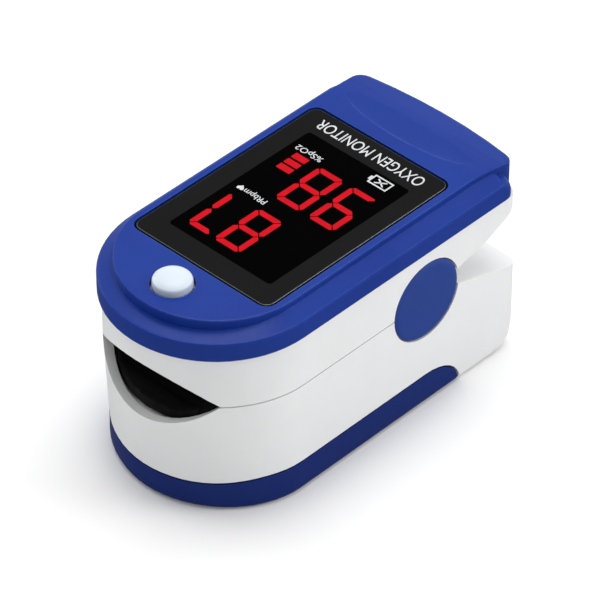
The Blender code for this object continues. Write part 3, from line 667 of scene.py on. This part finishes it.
def soft_light(name, place, size, power):
    """A square soft box that faces the device, from metres and watts."""
    data = bpy.data.lights.new(name, "AREA")
    data.size = size
    data.energy = power
    lamp = bpy.data.objects.new(name, data)
    bpy.context.scene.collection.objects.link(lamp)
    lamp.location = place
    lamp.rotation_euler = (Vector(LIGHT_AIM) - Vector(place)).to_track_quat("-Z", "Y").to_euler()


def sky():
    """A bright dome over a dim lower half, brightest behind the device."""
    world = bpy.data.worlds.new("studio")
    world.use_nodes = True
    tree = world.node_tree
    way = tree.nodes.new("ShaderNodeSeparateXYZ")
    tree.links.new(tree.nodes.new("ShaderNodeTexCoord").outputs["Generated"], way.inputs["Vector"])
    bright = spread(tree, way.outputs["Z"], *SKY_RISE, *SKY_LEVELS)
    behind = spread(tree, way.outputs["Y"], -1.0, 1.0, *SKY_FRONT_TO_BACK)
    strength = tree.nodes.new("ShaderNodeMath")
    strength.operation = "MULTIPLY"
    tree.links.new(bright, strength.inputs[0])
    tree.links.new(behind, strength.inputs[1])
    tree.nodes["Background"].inputs["Color"].default_value = (1.0, 1.0, 1.0, 1.0)
    tree.links.new(strength.outputs["Value"], tree.nodes["Background"].inputs["Strength"])
    bpy.context.scene.world = world


def studio():
    """The sky, the pale floor, the soft boxes and the camera."""
    scene = bpy.context.scene
    scene.view_settings.view_transform = "Standard"
    sky()
    bpy.ops.mesh.primitive_plane_add(size=FLOOR_SIDE, location=(0.0, 0.0, -0.0001))
    floor = bpy.context.object
    floor.name = "floor"
    pale, _, shader = node_material("pale_floor")
    shader.inputs["Base Color"].default_value = (FLOOR_TONE, FLOOR_TONE, FLOOR_TONE, 1.0)
    shader.inputs["Roughness"].default_value = 0.9
    shader.inputs["Specular IOR Level"].default_value = 0.0
    floor.data.materials.append(pale)
    floor.visible_glossy = False

    for name, place, size, power in SOFT_BOXES:
        soft_light(name, place, size, power)

    azimuth = math.radians(CAMERA_AZIMUTH)
    elevation = math.radians(CAMERA_ELEVATION)
    flat = math.cos(elevation)
    back = Vector((math.sin(azimuth) * flat, -math.cos(azimuth) * flat, math.sin(elevation)))
    data = bpy.data.cameras.new("camera")
    data.sensor_width = 36.0
    data.lens = CAMERA_LENS
    data.shift_x, data.shift_y = CAMERA_SHIFT
    data.clip_end = 20.0
    camera = bpy.data.objects.new("camera", data)
    bpy.context.scene.collection.objects.link(camera)
    camera.location = Vector(CAMERA_TARGET) + back * CAMERA_DISTANCE
    camera.rotation_euler = (-back).to_track_quat("-Z", "Y").to_euler()
    scene.camera = camera


# --- the device --------------------------------------------------------------------------------


def case():
    """Outer mouldings and their fine surfaces."""
    # The edge colours below are painted highlights: lighter bands along each moulding's edges.
    white = moulded(
        "white_moulding",
        colour=(0.81, 0.815, 0.82),
        shade=(0.785, 0.79, 0.795),
        roughness=0.42,
        specular=0.3,
        edge_highlight=(0.85, 0.85, 0.85),
    )
    blue = moulded(
        "blue_moulding",
        colour=(0.005, 0.034, 0.27),
        shade=(0.004, 0.03, 0.25),
        roughness=0.36,
        specular=0.2,
        edge_highlight=(0.03, 0.09, 0.42),
        reach=0.00024,
    )
    navy = moulded(
        "blue_cover_moulding",
        colour=(0.0035, 0.021, 0.165),
        shade=(0.003, 0.018, 0.15),
        roughness=0.38,
        specular=0.25,
        edge_highlight=(0.007, 0.034, 0.22),
    )
    cap_blue = moulded(
        "blue_cap_moulding",
        colour=(0.012, 0.046, 0.27),
        shade=(0.01, 0.04, 0.24),
        roughness=0.42,
        specular=0.3,
        edge_highlight=(0.02, 0.06, 0.33),
    )
    button_white = moulded(
        "button_moulding",
        colour=(0.67, 0.745, 0.82),
        shade=(0.645, 0.72, 0.8),
        roughness=0.35,
        specular=0.3,
    )
    acrylic = moulded(
        "window_acrylic",
        colour=(0.0108, 0.0108, 0.0108),
        shade=(0.0118, 0.0118, 0.0118),
        roughness=0.14,
        specular=0.01,
        grain=0.0,
    )
    # Painted highlight on the chamfer: a lighter grey than the acrylic, with real strong gloss.
    chamfer_highlight = moulded(
        "window_edge",
        colour=(0.06, 0.06, 0.06),
        shade=(0.08, 0.08, 0.08),
        roughness=0.25,
        specular=0.8,
        grain=0.0,
    )
    finishes = {
        "top_cover": blue,
        "upper_shell": white,
        "lower_shell": white,
        "battery_cover": navy,
        "power_button": button_white,
        "hinge_cap_left": cap_blue,
        "hinge_cap_right": cap_blue,
    }
    for node, radius in EDGE_RADII.items():
        refined(node, radius, finishes[node])
    pane = refined("display_window", 0.0, acrylic)
    pane.data.materials.append(chamfer_highlight)
    for face in pane.data.polygons:
        if CHAMFER_TILT[0] < face.normal.z < CHAMFER_TILT[1]:
            face.material_index = 1


def soft_parts():
    """Finger pads in black silicone."""
    rubber = moulded(
        "pad_rubber",
        colour=(0.004, 0.004, 0.004),
        shade=(0.0028, 0.0028, 0.003),
        roughness=0.72,
        specular=0.15,
        grain=0.2,
        grain_scale=3000.0,
    )
    soft_pad("lower_pad", rubber, 1)
    soft_pad("upper_pad", rubber, -1)


def inner_parts():
    """Finishes of the parts inside, and copies of the springs and the cable that cross the hinge."""
    nickel = metal("nickel_plate", (0.62, 0.6, 0.55), (0.48, 0.45, 0.4), 0.3, (1.0, 1.0, 0.1))
    steel = metal("spring_steel_wire", (0.42, 0.43, 0.45), (0.3, 0.3, 0.31), 0.28, (0.1, 1.0, 1.0))
    board = circuit_board("solder_mask")
    chip = moulded(
        "chip_epoxy",
        colour=(0.012, 0.012, 0.013),
        shade=(0.018, 0.018, 0.018),
        roughness=0.5,
        specular=0.3,
        grain=0.25,
        grain_scale=4000.0,
    )
    dark = moulded(
        "display_housing",
        colour=(0.02, 0.02, 0.022),
        shade=(0.026, 0.026, 0.028),
        roughness=0.45,
        specular=0.3,
        grain=0.1,
    )
    phosphor = glowing("led_phosphor", (0.85, 0.7, 0.32), 0.0)
    finishes = {
        "nickel_contact": nickel,
        "spring_steel": steel,
        "board_green": board,
        "chip_black": chip,
        "display_epoxy": dark,
        "led_white": phosphor,
        "battery_label": wrapped_cell("cell_wrap"),
        "polyimide_film": ribbon("flex_ribbon"),
        "clear_window": clear_lens("sensor_lens"),
    }
    for entry in frame["record"]["subparts"]:
        if entry["material_slot"] in finishes:
            paint(entry["node"], finishes[entry["material_slot"]])
    for side, tag in ((-1, "left"), (1, "right")):
        flexed("torsion_spring_" + tag, steel)
    flexed("flex_cable", finishes["polyimide_film"], CABLE_CUTS)


studio()
case()
soft_parts()
inner_parts()
display()
